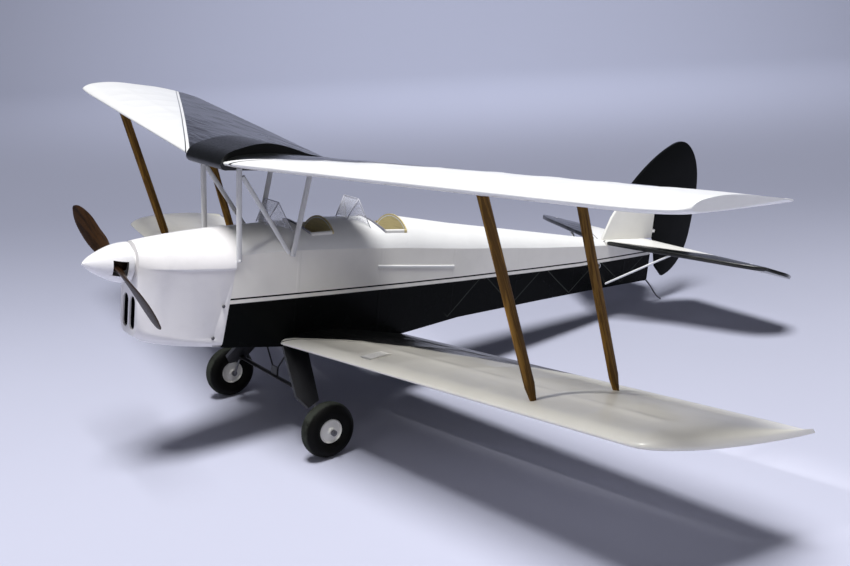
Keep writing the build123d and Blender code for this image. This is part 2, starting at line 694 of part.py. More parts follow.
def make_elevators():
    y = ELEVATOR_AXIS_Y
    half_t = ELEVATOR_T / 2
    inner, outer = 9.0, 166.0
    curve = Edge.make_spline([(outer, y, 0), (176, 665, 0), (168, 684, 0), (150, 691, 0)],
                             tangents=[(0.4, 1, 0), (-1, 0, 0)])
    edges = [curve, Edge.make_line((150, 691, 0), (33, 692, 0)),
             Edge.make_line((33, 692, 0), (inner, 652, 0)),
             Edge.make_line((inner, 652, 0), (inner, y, 0)),
             Edge.make_line((inner, y, 0), (outer, y, 0))]
    face = Face(Wire(edges)).moved(Pos(0, 0, STAB_Z - half_t))
    panel = Solid.extrude(face, Vector(0, 0, ELEVATOR_T))
    panel = panel.fuse(pin_x(y, STAB_Z, inner, outer, half_t))
    for at in ELEVATOR_TABS:
        panel = panel - block((at - 2.6, y - 4, -2), (at + 2.6, y + 3.4, 9))
    reach = 152.0
    panel = panel - pin_x(y, STAB_Z, -reach, reach, HINGE_ROD_R)
    panel = panel.rotate(Axis((0, y, STAB_Z), (1, 0, 0)), -ELEVATOR_DROOP)
    both_sides("elevator", panel)
    nodes["elevator_rod"] = pin_x(y, STAB_Z, -reach, reach, HINGE_ROD_R)


def make_fin_and_rudder():
    half_t = RUDDER_T / 2
    base = STAB_Z + STAB_T / 2
    fin = [(575, base), (586, 30), (600, 50), (614, 64.5), (POST_END, 63), (POST_END, base)]
    nodes["fin"] = prism_x(fin, -half_t, half_t)
    y = RUDDER_AXIS_Y
    low, high = base + 0.6, 63.0
    nose = Edge.make_spline([(613, 67.5), (628, 82.5), (648, 98.5), (668, 110.5), (688, 116),
                             (706, 106), (718, 84), (721.5, 58), (720, 30), (715, -2),
                             (703, -24), (681, -38.8)])
    chain = [(681, -38.8), (668, -27.5), (660, low - 4), (y, low), (y, high + 2), (613, 67.5)]
    edges = [nose] + [Edge.make_line(a, b) for a, b in zip(chain, chain[1:])]
    flat = Face(Wire(edges))
    plane = Plane((-half_t, 0, 0), x_dir=(0, 1, 0), z_dir=(1, 0, 0))
    rudder = Solid.extrude(plane * flat, Vector(RUDDER_T, 0, 0))
    rudder = rudder.fuse(rod((0, y, low), (0, y, high), half_t))
    for z in RUDDER_TABS:
        rudder = rudder - block((-4, y - 4, z - 2.6), (4, y + 3.2, z + 2.6))
    pin = rod((0, y, low + 2), (0, y, high + 3), HINGE_ROD_R)
    nodes["rudder"] = rudder - pin
    nodes["rudder_pin"] = pin
    tabs = []
    for z in RUDDER_TABS:
        tab = block((-half_t + 0.1, POST_END, z - TAB / 2), (half_t - 0.1, y + 1.5, z + TAB / 2))
        tabs.append(tab - rod((0, y, z - 4), (0, y, z + 4), HINGE_ROD_R + RUNNING))
    return tabs


def make_tail(hull):
    tabs = make_stabilizer(hull)
    make_elevators()
    tabs += make_fin_and_rudder()
    nodes["hinge_tabs"] = group(*tabs)
    brace = bar((7.0, 579, -43.5), (77, 603.5, 3.2), 3.4, 2.2)
    brace = brace - nodes["stabilizer"] - hull
    both_sides("tail_brace", max(brace.solids(), key=lambda s: s.volume))
    curve = Edge.make_spline([(0, 652.5, -40.5), (0, 660, -46), (0, 668, -53), (0, 677, -61.8),
                              (0, 686, SKID_Z)])
    path = [tuple(curve @ (i / 8)) for i in range(9)]
    skid = rod(path[0], path[1], 0.9)
    for a, b in zip(path[1:], path[2:]):
        skid = skid.fuse(Pos(*a) * Sphere(0.9), rod(a, b, 0.9))
    skid = skid - hull - nodes["fuselage_frame"]
    nodes["tail_skid"] = max(skid.solids(), key=lambda s: s.volume)


# ---- all -----------------------------------------------------------------------------
def write_nodes():
    """Pitch to the ground stance, centre over the floor and write one STEP per node."""
    os.makedirs("parts", exist_ok=True)
    posed = {name: Compound(shape.solids()).rotate(Axis.X, -GROUND_PITCH)
             for name, shape in nodes.items()}
    box = Compound(list(posed.values())).bounding_box()
    shift = Pos(0, -(box.min.Y + box.max.Y) / 2, -box.min.Z)
    print("nodes", len(posed), "shift", shift.position)
    for name, shape in posed.items():
        solids = shape.moved(shift).solids()
        export_step(solids[0] if len(solids) == 1 else Compound(solids), f"parts/{name}.step")


make_fuselage()
make_cockpits()
make_windscreens()
make_cowl()
make_plug_and_bearing()
make_propeller()
make_motor()
hull_block = body_loft(COWL_REAR_LOW - 6, TAIL_END, hull_wire)
strip = side_strip()
nodes["side_strips"] = group(strip, mirrored(strip))
wing_shapes = make_wings()
make_struts(wing_shapes)
make_gear(wing_shapes, hull_block)
make_wheels()
make_tail(hull_block)
write_nodes()
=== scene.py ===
"""A stick-and-tissue, rubber-powered biplane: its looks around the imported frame.

Every CAD node gets a procedural material. The wings' coverings, the cowl, the tail surfaces
and the gear legs are replaced by finer shapes, and small hardware is added. A paper sweep,
the lights and the camera follow at the end.
"""
from math import atan2, cos, pi, radians, sin, sqrt

import bmesh
import bpy
from mathutils import Matrix, Vector, noise


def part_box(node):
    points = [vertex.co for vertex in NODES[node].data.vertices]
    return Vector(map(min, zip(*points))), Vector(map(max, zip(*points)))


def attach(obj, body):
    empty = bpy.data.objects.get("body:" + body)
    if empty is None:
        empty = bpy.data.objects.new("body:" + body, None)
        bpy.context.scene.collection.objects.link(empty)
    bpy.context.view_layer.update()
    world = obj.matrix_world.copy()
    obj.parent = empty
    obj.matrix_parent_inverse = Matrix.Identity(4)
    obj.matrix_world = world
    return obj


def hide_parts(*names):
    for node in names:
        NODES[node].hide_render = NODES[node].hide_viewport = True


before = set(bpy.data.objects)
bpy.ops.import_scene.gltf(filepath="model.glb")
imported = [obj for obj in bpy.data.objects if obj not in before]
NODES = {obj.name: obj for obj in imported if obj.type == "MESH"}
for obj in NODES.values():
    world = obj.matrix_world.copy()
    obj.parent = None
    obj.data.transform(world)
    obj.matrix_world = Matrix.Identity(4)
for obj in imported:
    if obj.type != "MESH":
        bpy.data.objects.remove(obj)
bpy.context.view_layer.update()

MM = 0.001
SIDES = (("port", 1), ("starboard", -1))

# ---- flight frame ----------------------------------------------------------------------
# Millimetres: +X port, +Y aft, +Z up, the thrust line along Y through the spinner's tip.
# The row frame is the same, pitched nose-up to the model's stance on the ground.
PITCH = radians(9.68)
TO_ROW = Matrix.Rotation(-PITCH, 3, "X")
PEG = Vector((0, 560, -20))          # the motor peg's middle


def shift_to_row():
    """Where the flight frame's origin lies in the row frame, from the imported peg's place."""
    low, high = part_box("motor_peg")
    return (low + high) / 2 - TO_ROW @ PEG * MM


SHIFT = shift_to_row()


def row(x, y, z):
    """A point of the flight frame, in metres in the row frame."""
    return TO_ROW @ Vector((x, y, z)) * MM + SHIFT


# ---- measures that the looks share with the part (flight frame) ------------------------
WHEEL_X = 89.3                       # the wheels' middles, either side
BAY = 43.0                           # spacing of the fuselage's uprights
FIRST_UPRIGHT = 349.5                # the first one behind the cockpits
COCKPIT_PITCH = 77.5                 # from the front cockpit to the rear one
STRUT_GRAIN = (0, -57, 137)          # along the interplane struts
BLADE_LEAN = radians(-17.3)          # the propeller's blades, from level
PROP_GRAIN = (cos(BLADE_LEAN), 0, sin(BLADE_LEAN))

# Edges of the black sunburst fields, each a line through two (x, y) points.
UPPER_LINE = ((26, 98.6), (420, 264.3))
LOWER_LINE = ((31, 168), (160, 262))
TAIL_LINE = ((14, 577), (166, 690))
PIN_STRIPE = (-3.4, -2.5)            # a thin black line beside each edge

# Upper edge of the black on the fuselage's sides, as z = slope * y + start; the higher of
# the two lines counts.
SIDE_LINE_FORWARD = (0.0302, -31.5)
SIDE_LINE_AFT = (0.0567, -45.6)
LOWER_LONGERON = (0.068, -82.5)      # where the side's bracing starts, written the same way

WHITE = (0.84, 0.84, 0.83)
CREAM = (0.80, 0.78, 0.71)
BLACK = (0.0025, 0.003, 0.003)


# ---- shader building -------------------------------------------------------------------
class Shader:
    """A Principled material built a node at a time."""

    def __init__(self, name, **sockets):
        self.mat = bpy.data.materials.new(name)
        self.mat.use_nodes = True
        self.tree = self.mat.node_tree
        self.bsdf = self.tree.nodes["Principled BSDF"]
        self.set(**sockets)

    def set(self, **sockets):
        for key, value in sockets.items():
            self.put(value, self.bsdf.inputs[key.replace("_", " ")])
        return self

    def put(self, value, socket):
        """Link a socket to a socket, or set a constant on one."""
        if isinstance(value, bpy.types.NodeSocket):
            self.tree.links.new(value, socket)
        elif socket.type == "RGBA" and len(value) == 3:
            socket.default_value = (*value, 1)
        else:
            socket.default_value = value

    def node(self, kind, *inputs, out=0, **settings):
        made = self.tree.nodes.new("ShaderNode" + kind)
        for key, value in settings.items():
            setattr(made, key, value)
        for key, value in inputs:
            self.put(value, made.inputs[key])
        return made.outputs[out]

    def math(self, operation, a, b=0.0):
        return self.node("Math", (0, a), (1, b), operation=operation)

    def add(self, a, b):
        return self.math("ADD", a, b)

    def mul(self, a, b):
        return self.math("MULTIPLY", a, b)

    def dot(self, vector, numbers):
        return self.node("VectorMath", (0, vector), (1, numbers), operation="DOT_PRODUCT",
                         out="Value")

    def scaled(self, vector, numbers):
        return self.node("VectorMath", (0, vector), (1, numbers), operation="MULTIPLY")

    def step(self, value, low, high):
        """0 under low, 1 over high, smooth between."""
        return self.node("MapRange", ("Value", value), ("From Min", low), ("From Max", high),
                         interpolation_type="SMOOTHSTEP")

    def band(self, value, low, high, soft=0.15):
        """1 between low and high, 0 outside."""
        inside = self.step(value, low - soft, low + soft)
        return self.mul(inside, self.step(value, high + soft, high - soft))

    def noise(self, vector, scale, detail=3.0, roughness=0.5, distortion=0.0):
        return self.node("TexNoise", ("Vector", vector), ("Scale", scale), ("Detail", detail),
                         ("Roughness", roughness), ("Distortion", distortion))

    def mix(self, factor, a, b):
        """Between two colours: the Mix node's sockets 6 and 7, out at 2."""
        return self.node("Mix", (0, factor), (6, a), (7, b), data_type="RGBA", out=2)

    def blend(self, factor, a, b):
        """Between two numbers: the Mix node's sockets 2 and 3, out at 0."""
        return self.node("Mix", (0, factor), (2, a), (3, b))

    def bump(self, height, distance, strength=1.0):
        normal = self.node("Bump", ("Height", height), ("Distance", distance),
                           ("Strength", strength))
        self.set(Normal=normal)

    def flight(self):
        """Object coordinates turned into the flight frame's millimetres."""
        place = self.node("TexCoord", out="Object")
        return self.node("Mapping", ("Vector", place), ("Scale", (1000, 1000, 1000)),
                         ("Rotation", (PITCH, 0, 0)),
                         ("Location", tuple(-(TO_ROW.transposed() @ SHIFT) / MM)))

    def split(self, vector):
        made = self.tree.nodes.new("ShaderNodeSeparateXYZ")
        self.put(vector, made.inputs[0])
        return tuple(made.outputs)

    def line(self, y, slope_and_start):
        slope, start = slope_and_start
        return self.add(self.mul(y, slope), start)


def darker(colour, share):
    return tuple(c * share for c in colour)


def tissue(name, white=WHITE):
    """Doped tissue: fine fibres and a faint mottle.

    Returns the shader, its coordinates, the two patterns and the white they make.
    """
    s = Shader(name, IOR=1.45)
    at = s.flight()
    fibres = s.noise(s.scaled(at, (0.9, 2.6, 0.9)), 1.0, 4.0, 0.65, 0.6)
    mottle = s.noise(at, 0.022, 3.0, 0.55)
    shade = s.mix(s.step(mottle, 0.35, 0.75), white, darker(white, 0.93))
    shade = s.mix(s.mul(s.step(fibres, 0.5, 0.9), 0.10), shade, darker(white, 0.8))
    return s, at, fibres, mottle, shade


def white_tissue(name, white=WHITE):
    s, at, fibres, mottle, shade = tissue(name, white)
    s.set(Base_Color=shade, Roughness=s.blend(mottle, 0.34, 0.5), Coat_Weight=0.15,
          Coat_Roughness=0.25)
    s.bump(s.add(s.mul(fibres, 0.06), s.mul(mottle, 0.5)), 0.001, 0.5)
    return s.mat


def panelled_tissue(name, line, white=WHITE, wrinkle=1.0, inside=1):
    """White tissue with a black field on one side of a line, mirrored left to right.

    The field lies behind the line, or ahead of it where `inside` is -1.
    """
    s, at, fibres, mottle, shade = tissue(name, white)
    x, y, _ = s.split(at)
    (x0, y0), (x1, y1) = line
    length = sqrt((x1 - x0) ** 2 + (y1 - y0) ** 2)
    across = s.mul(s.math("ABSOLUTE", x), -(y1 - y0) / length * inside)
    offset = ((y1 - y0) * x0 - (x1 - x0) * y0) / length * inside
    across = s.add(s.add(across, s.mul(y, (x1 - x0) / length * inside)), offset)
    field = s.step(across, -0.2, 0.2)
    stripe = s.band(across, *PIN_STRIPE)
    dark = s.math("MAXIMUM", field, stripe)
    creases = s.noise(s.scaled(at, (0.007, 0.05, 0.03)), 1.0, 2.0, 0.45, 1.6)
    creases = s.math("PINGPONG", s.mul(creases, 5.0), 1.0)
    creases = s.mul(creases, s.step(s.noise(at, 0.011, 2.0, 0.5), 0.35, 0.6))
    s.set(Base_Color=s.mix(dark, shade, BLACK),
          Roughness=s.blend(dark, s.blend(mottle, 0.36, 0.5), s.blend(mottle, 0.24, 0.36)),
          Coat_Weight=0.5, Coat_Roughness=0.18)
    height = s.add(s.mul(fibres, 0.05), s.mul(mottle, 0.3))
    s.bump(s.add(height, s.mul(s.mul(creases, field), 1.9 * wrinkle)), 0.001, 0.7)
    return s.mat


def side_paint():
    """Fuselage side: white over black, a pin line along the join, the frame's members raised in
    the tissue and a painted sheen along them in the black.
    """
    s, at, fibres, mottle, shade = tissue("side_paint", (0.82, 0.80, 0.75))
    _, y, z = s.split(at)
    edge = s.math("MAXIMUM", s.line(y, SIDE_LINE_FORWARD), s.line(y, SIDE_LINE_AFT))
    over = s.math("SUBTRACT", z, edge)
    field = s.step(over, -3.9, -4.3)
    pin = s.band(over, -0.9, 0.5, 0.12)
    dark = s.math("MAXIMUM", field, pin)
    bay = s.mul(s.math("PINGPONG", s.add(y, 2.5 - FIRST_UPRIGHT), BAY), 1 / BAY)
    rise = s.blend(bay, s.line(y, LOWER_LONGERON), edge)
    member = s.band(s.math("SUBTRACT", z, rise), -0.7, 0.7, 0.3)
    member = s.mul(member, s.step(y, 340, 350))
    # Painted sheen: along the frame's members the black is lifted to a faint greenish grey.
    black_with_painted_sheen = s.mix(s.mul(member, 0.55), BLACK, (0.05, 0.055, 0.05))
    upright = s.band(s.math("PINGPONG", s.add(y, -FIRST_UPRIGHT), BAY), -1, 1.3, 0.4)
    s.set(Base_Color=s.mix(dark, shade, black_with_painted_sheen),
          Roughness=s.blend(dark, 0.42, s.blend(mottle, 0.2, 0.34)),
          Specular_IOR_Level=s.blend(dark, 0.4, 0.06))
    height = s.add(s.mul(fibres, 0.05), s.mul(s.math("MAXIMUM", upright, member), 0.18))
    s.bump(s.add(height, s.mul(mottle, 0.5)), 0.001, 0.6)
    return s.mat


def black_tissue(name, rough=0.26):
    """Tissue doped black all over."""
    s = Shader(name, Base_Color=BLACK, Specular_IOR_Level=0.08)
    at = s.flight()
    fibres = s.noise(s.scaled(at, (0.9, 2.2, 0.9)), 1.0, 4.0, 0.6, 0.6)
    sag = s.noise(at, 0.03, 2.0, 0.5)
    s.set(Roughness=s.blend(fibres, rough - 0.05, rough + 0.1))
    s.bump(s.add(s.mul(fibres, 0.05), sag), 0.001, 0.6)
    return s.mat


def gloss_paint(name, base, rough=0.22, peel=0.5, coat=0.6):
    """Sprayed or moulded gloss with orange peel and faint handling marks."""
    s = Shader(name, Coat_Weight=coat, Coat_Roughness=0.06)
    at = s.flight()
    fine = s.noise(at, 0.9, 2.0, 0.5)
    broad = s.noise(at, 0.05, 3.0, 0.6)
    marks = s.noise(s.scaled(at, (0.25, 0.8, 0.25)), 1.0, 5.0, 0.7)
    worn = s.mix(s.mul(s.step(broad, 0.45, 0.8), 0.35), base, darker(base, 0.86))
    s.set(Base_Color=worn, Roughness=s.blend(s.step(marks, 0.45, 0.7), rough, rough + 0.12))
    s.bump(s.add(s.mul(fine, 0.08), s.mul(broad, 0.4)), 0.001, peel)
    return s.mat


def wood(name, light, dark, along, rough=0.4, coat=0.2, ring=1.0, scale=1.0, shine=0.5):
    """Straight grain; `along` is the grain's direction in the flight frame."""
    s = Shader(name, Coat_Weight=coat, Coat_Roughness=0.2, Specular_IOR_Level=shine)
    at = s.flight()
    line = Vector(along).normalized()
    lengthwise = s.dot(at, tuple(line))
    slide = s.node("VectorMath", (0, tuple(line)), ("Scale", s.mul(lengthwise, -0.94)),
                   operation="SCALE")
    grain_at = s.node("VectorMath", (0, at), (1, slide), operation="ADD")
    broad = s.noise(grain_at, 0.16 * scale, 3.0, 0.6, 1.2)
    fine = s.noise(grain_at, 1.6 * scale, 5.0, 0.7, 0.4)
    pores = s.step(s.noise(grain_at, 4.0 * scale, 2.0, 0.6), 0.62, 0.72)
    stripes = s.math("SINE", s.add(s.mul(broad, 22.0 * ring), s.mul(fine, 3.0)))
    tone = s.add(s.mul(s.add(s.mul(stripes, 0.5), 0.5), 0.55), s.mul(fine, 0.45))
    colour = s.mix(s.step(tone, 0.2, 0.85), dark, light)
    colour = s.mix(s.mul(pores, 0.5), colour, darker(dark, 0.45))
    s.set(Base_Color=colour, Roughness=s.blend(fine, rough - 0.08, rough + 0.12))
    s.bump(s.add(s.mul(tone, 0.14), s.mul(pores, -0.12)), 0.001, 0.6)
    return s.mat


def coaming():
    """Grey piping round the front of each cockpit, white sides, bare wood along the back."""
    s = Shader("coaming", Roughness=0.55)
    at = s.flight()
    _, y, _ = s.split(at)
    grit = s.noise(at, 1.4, 4.0, 0.6)
    rear_one = s.step(y, 235, 236)
    along = s.math("SUBTRACT", y, s.mul(rear_one, COCKPIT_PITCH))
    grey = s.mix(grit, (0.15, 0.15, 0.18), (0.24, 0.24, 0.28))
    colour = s.mix(s.step(along, 190, 193), grey, (0.80, 0.79, 0.75))
    colour = s.mix(s.step(along, 212.0, 212.8), colour, (0.60, 0.50, 0.25))
    s.set(Base_Color=colour)
    s.bump(s.mul(grit, 0.1), 0.001, 0.6)
    return s.mat


def rubber_strip():
    """The motor's tan rubber, dusted with talc."""
    s = Shader("rubber_strip", Specular_IOR_Level=0.35)
    at = s.flight()
    grit = s.noise(at, 2.2, 5.0, 0.7)
    cloud = s.noise(at, 0.12, 3.0, 0.6)
    dusty = s.mul(s.step(cloud, 0.35, 0.75), 0.6)
    s.set(Base_Color=s.mix(dusty, (0.30, 0.22, 0.12), (0.40, 0.32, 0.2)),
          Roughness=s.blend(grit, 0.45, 0.7))
    s.bump(s.add(s.mul(grit, 0.12), s.mul(cloud, 0.1)), 0.001, 0.7)
    return s.mat


def tyre_rubber():
    """Foam rubber: the tread dusty and greenish grey, the walls near black."""
    s = Shader("tyre_rubber", Specular_IOR_Level=0.1)
    at = s.flight()
    x, _, _ = s.split(at)
    off = s.add(s.math("ABSOLUTE", x), -WHEEL_X)
    edge = s.add(s.math("ABSOLUTE", off), s.mul(s.noise(at, 0.3, 3.0), 2.0))
    tread = s.step(edge, 6.6, 4.4)
    grit = s.noise(at, 2.2, 5.0, 0.7)
    cloud = s.noise(at, 0.1, 4.0, 0.6)
    dust = s.mul(tread, s.step(cloud, 0.25, 0.6))
    s.set(Base_Color=s.mix(dust, (0.0025, 0.0025, 0.002), (0.040, 0.044, 0.036)),
          Roughness=s.blend(dust, s.blend(grit, 0.42, 0.6), 0.85))
    s.bump(s.add(s.mul(grit, 0.14), s.mul(cloud, 0.2)), 0.001, 0.7)
    return s.mat


def metal(name, base, rough, brushed=(1, 1, 1)):
    """Bare metal, its scratches stretched along the axis with the smallest scale."""
    s = Shader(name, Metallic=1.0)
    at = s.flight()
    scratch = s.noise(s.scaled(at, brushed), 2.0, 4.0, 0.7)
    s.set(Base_Color=s.mix(s.step(scratch, 0.3, 0.8), base, darker(base, 0.7)),
          Roughness=s.blend(scratch, rough - 0.08, rough + 0.15))
    s.bump(s.mul(scratch, 0.03), 0.001, 0.5)
    return s.mat


def clear_sheet():
    """Thin acetate: mostly clear, with a soft reflection; its partly opaque pale lavender is
    painted reflection that lightens the facets.
    """
    s = Shader("clear_sheet", Base_Color=(0.78, 0.79, 0.86), IOR=1.3, Coat_Weight=0.5,
               Coat_Roughness=0.03)
    at = s.flight()
    ripple = s.noise(at, 0.08, 2.0, 0.5)
    haze_and_painted_reflection = s.noise(at, 0.3, 4.0, 0.7)
    # Painted reflection: the pale lavender sheet is 24 to 38 percent opaque, so its facets read
    # lighter.
    s.set(Alpha=s.blend(s.step(haze_and_painted_reflection, 0.4, 0.8), 0.24, 0.38),
          Roughness=s.blend(haze_and_painted_reflection, 0.05, 0.16))
    s.bump(ripple, 0.001, 0.4)
    return s.mat


MAT = {
    "white": white_tissue("white_tissue"),
    "patch": white_tissue("patch_tissue", (0.86, 0.85, 0.82)),
    "fin": white_tissue("fin_tissue", (0.82, 0.81, 0.77)),
    "upper": panelled_tissue("upper_wing_tissue", UPPER_LINE),
    "lower": panelled_tissue("lower_wing_tissue", LOWER_LINE, CREAM),
    "tail": panelled_tissue("tail_tissue", TAIL_LINE, (0.82, 0.81, 0.78), 0.4, inside=-1),
    "side": side_paint(),
    "black": black_tissue("black_tissue"),
    "tank": gloss_paint("tank_black", BLACK, 0.3, 0.6, 0.0),
    "rudder": black_tissue("rudder_black", 0.38),
    "cowl": gloss_paint("cowl_white", (0.84, 0.82, 0.82), 0.3, 0.4, 0.2),
    "spinner": gloss_paint("spinner_white", (0.88, 0.87, 0.88), 0.16, 0.4),
    "pole": gloss_paint("pole_grey", (0.62, 0.62, 0.63), 0.35, 0.3, 0.2),
    "brace": gloss_paint("brace_white", (0.84, 0.84, 0.84), 0.35, 0.3, 0.2),
    "gear": gloss_paint("gear_black", (0.005, 0.005, 0.006), 0.4, 1.0, 0.0),
    "strut": wood("strut_wood", (0.20, 0.105, 0.020), (0.085, 0.042, 0.008), STRUT_GRAIN,
                  rough=0.5, coat=0.0, scale=0.8, shine=0.12),
    "prop": wood("prop_wood", (0.030, 0.013, 0.004), (0.009, 0.004, 0.0015), PROP_GRAIN,
                 rough=0.4, coat=0.06, ring=0.5, shine=0.15),
    "ply": wood("ply", (0.62, 0.47, 0.28), (0.48, 0.34, 0.18), (0, 0, 1),
                rough=0.6, coat=0.0),
    "straw": wood("straw_card", (0.66, 0.55, 0.27), (0.528, 0.44, 0.216), (1, 0, 0),
                  rough=0.6, coat=0.0, ring=0.6, scale=1.6),
    "dash": gloss_paint("dash_grey", (0.16, 0.16, 0.17), 0.5, 0.6, 0.0),
    "piping": coaming(),
    "clear": clear_sheet(),
    "edge": gloss_paint("screen_edge_grey", (0.50, 0.50, 0.56), 0.4, 0.2, 0.1),
    "tyre": tyre_rubber(),
    "hub": gloss_paint("hub_grey", (0.74, 0.73, 0.69), 0.42, 1.0, 0.1),
    "wire": metal("wire_steel", (0.30, 0.30, 0.31), 0.35, (1, 1, 0.3)),
    "screw": metal("screw_steel", (0.16, 0.16, 0.17), 0.4),
    "brass": metal("brass", (0.70, 0.50, 0.22), 0.25),
    "peg": metal("peg_aluminium", (0.72, 0.72, 0.74), 0.3, (0.1, 1, 1)),
    "plug": gloss_paint("plug_white", (0.8, 0.8, 0.8), 0.4, 0.6, 0.1),
    "motor": rubber_strip(),
}

FINISH = {
    "deck_cover": "white", "belly_cover": "black", "side_strips": "white",
    # Painted shade: the plywood nose bulkheads take the black finish so that the cowl's slots
    # look dark inside.
    "fuselage_frame": "side", "formers": "ply", "nose_bulkheads": "black",
    "fin": "fin", "rudder": "rudder", "stabilizer": "tail", "hinge_tabs": "brace",
    "elevator_rod": "wire", "rudder_pin": "wire", "tail_skid": "wire",
    "centre_tank": "tank", "cabane_struts_front": "pole", "cabane_struts_rear": "pole",
    "cabane_braces": "pole",
    "cockpit_backs": "straw", "cockpit_trays": "dash", "cockpit_coamings": "piping",
    "front_windscreen": "clear", "rear_windscreen": "clear",
    "cowl": "cowl", "cowl_screws": "screw", "nose_plug": "plug", "thrust_bearing": "brass",
    "thrust_washers": "brass", "prop_shaft": "wire", "propeller": "prop",
    "spinner": "spinner", "motor_peg": "peg", "rubber_motor": "motor",
    "gear_spreader": "gear",
}
PAIRED_FINISH = {
    "upper_wing_cover": "upper", "upper_wing_frame": "upper",
    "lower_wing_cover": "lower", "lower_wing_frame": "lower",
    "front_strut": "strut", "rear_strut": "strut", "side_cover": "side",
    "elevator": "tail", "tail_brace": "brace",
    "gear_leg": "gear", "axle": "wire", "tyre": "tyre", "wheel_hub": "hub",
}
for side, _ in SIDES:
    FINISH.update({f"{stem}_{side}": finish for stem, finish in PAIRED_FINISH.items()})

for name, obj in NODES.items():
    obj.data.materials.clear()
    obj.data.materials.append(MAT[FINISH[name]])


# ---- pieces ----------------------------------------------------------------------------
HARD_EDGE = radians(32)              # sharper edges are rounded, and not shaded smooth


def linked(name, data):
    """A new object holding the data, in the scene."""
    obj = bpy.data.objects.new(name, data)
    bpy.context.scene.collection.objects.link(obj)
    return obj


def smooth_mesh(name, verts, faces):
    mesh = bpy.data.meshes.new(name)
    mesh.from_pydata([tuple(v) for v in verts], [], faces)
    mesh.validate()
    mesh.polygons.foreach_set("use_smooth", [True] * len(mesh.polygons))
    return mesh


def finished(mesh, material, body, replaces=()):
    """A visible piece: the mesh as an object on its body, in place of the CAD nodes named."""
    mesh.materials.append(MAT[material])
    obj = linked(mesh.name, mesh)
    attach(obj, body)
    if replaces:
        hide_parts(*replaces)
    return obj


def piece(name, verts, faces, material, slot, replaces=()):
    """A finished piece of the airframe from bare geometry."""
    return finished(smooth_mesh(name, verts, faces), material, "airframe", replaces)


def rings(loops):
    """Faces between successive closed loops of the same length, with capped ends."""
    count = len(loops[0])
    verts = [v for loop in loops for v in loop]
    faces = []
    for i in range(len(loops) - 1):
        for j in range(count):
            k = (j + 1) % count
            a, b = i * count, (i + 1) * count
            faces.append((a + j, a + k, b + k, b + j))
    last = (len(loops) - 1) * count
    faces.append(tuple(reversed(range(count))))
    faces.append(tuple(range(last, last + count)))
    return verts, faces


def refined(node, material, bevel, body="airframe"):
    """A welded, smoothly shaded copy of a CAD node with its hard edges rounded by `bevel`."""
    shape = bmesh.new()
    shape.from_mesh(NODES[node].data)
    bmesh.ops.remove_doubles(shape, verts=shape.verts, dist=1e-6)
    bmesh.ops.dissolve_limit(shape, angle_limit=radians(0.5), verts=shape.verts,
                             edges=shape.edges)
    edges = [e for e in shape.edges
             if len(e.link_faces) == 2 and e.calc_face_angle(0) > HARD_EDGE]
    bmesh.ops.bevel(shape, geom=edges, offset=bevel * MM, segments=3, profile=0.5,
                    affect="EDGES", clamp_overlap=True)
    bmesh.ops.triangulate(shape, faces=[f for f in shape.faces if len(f.verts) > 4])
    for edge in shape.edges:
        edge.smooth = edge.calc_face_angle(0) < HARD_EDGE
    mesh = bpy.data.meshes.new(node + "_finished")
    shape.to_mesh(mesh)
    shape.free()
    mesh.polygons.foreach_set("use_smooth", [True] * len(mesh.polygons))
    return finished(mesh, material, body, (node,))


def circle(centre, turn, radius, sides, height=0.0):
    """Row-frame points round a flight-frame centre, `height` along the turned axis."""
    angles = [2 * pi * k / sides for k in range(sides)]
    return [row(*(Vector(centre) + turn @ Vector((radius * cos(a), radius * sin(a), height))))
            for a in angles]


def tube(name, path, radius, material, slot):
    """A thin round bar through flight-frame points."""
    loops = []
    for i, point in enumerate(path):
        ahead = Vector(path[min(i + 1, len(path) - 1)]) - Vector(path[max(i - 1, 0)])
        turn = ahead.to_track_quat("Z", "Y")
        loops.append(circle(point, turn, radius, 8))
    return piece(name, *rings(loops), material, slot)


def dome(name, centre, out, radius, height, material, slot):
    """A low button: flight-frame centre, facing `out`."""
    turn = Vector(out).to_track_quat("Z", "Y")
    loops = [circle(centre, turn, radius * cos(radians(t)), 16, height * sin(radians(t)))
             for t in (0, 22, 45, 68, 84)]
    return piece(name, *rings(loops), material, slot)


# ---- finished copies of the plainer CAD pieces -----------------------------------------
refined("cowl", "cowl", bevel=0.35)
refined("stabilizer", "tail", bevel=1.2)
refined("fin", "fin", bevel=0.9)
refined("rudder", "rudder", bevel=1.0, body="rudder")
for side, _ in SIDES:
    refined(f"elevator_{side}", "tail", bevel=0.9, body="elevators")
    refined(f"gear_leg_{side}", "gear", bevel=0.9)

# ---- small hardware: flight-frame places on the port side, mirrored to starboard -------
COWL_SCREWS = ((30.7, 108.5, -33.5), (30.3, 100.5, -60.0))
CABANE_SCREWS = ((33.2, 119.5, 4.4), (33.0, 169.5, 8.0))
for side, sign in SIDES:
    for i, (x, y, z) in enumerate(COWL_SCREWS):
        dome(f"cowl_screw_head_{i}_{side}", (sign * x, y, z), (sign, 0, 0), 1.5, 0.9,
             "screw", "steel_wire")
    for i, (x, y, z) in enumerate(CABANE_SCREWS):
        dome(f"cabane_screw_{i}_{side}", (sign * x, y, z), (sign, 0, 0.1), 1.3, 0.8,
             "pole", "white_dope")

# Bound edges of each windscreen: its foot on the deck, upper corner and rear corner.
SCREENS = (
    ("front", (8.7, 154.9, 29.8), (12, 164, 49.5), (20.3, 174.6, 26)),
    ("rear", (9.1, 235.8, 33.4), (12, 245, 52.5), (20.3, 255.6, 26)),
)
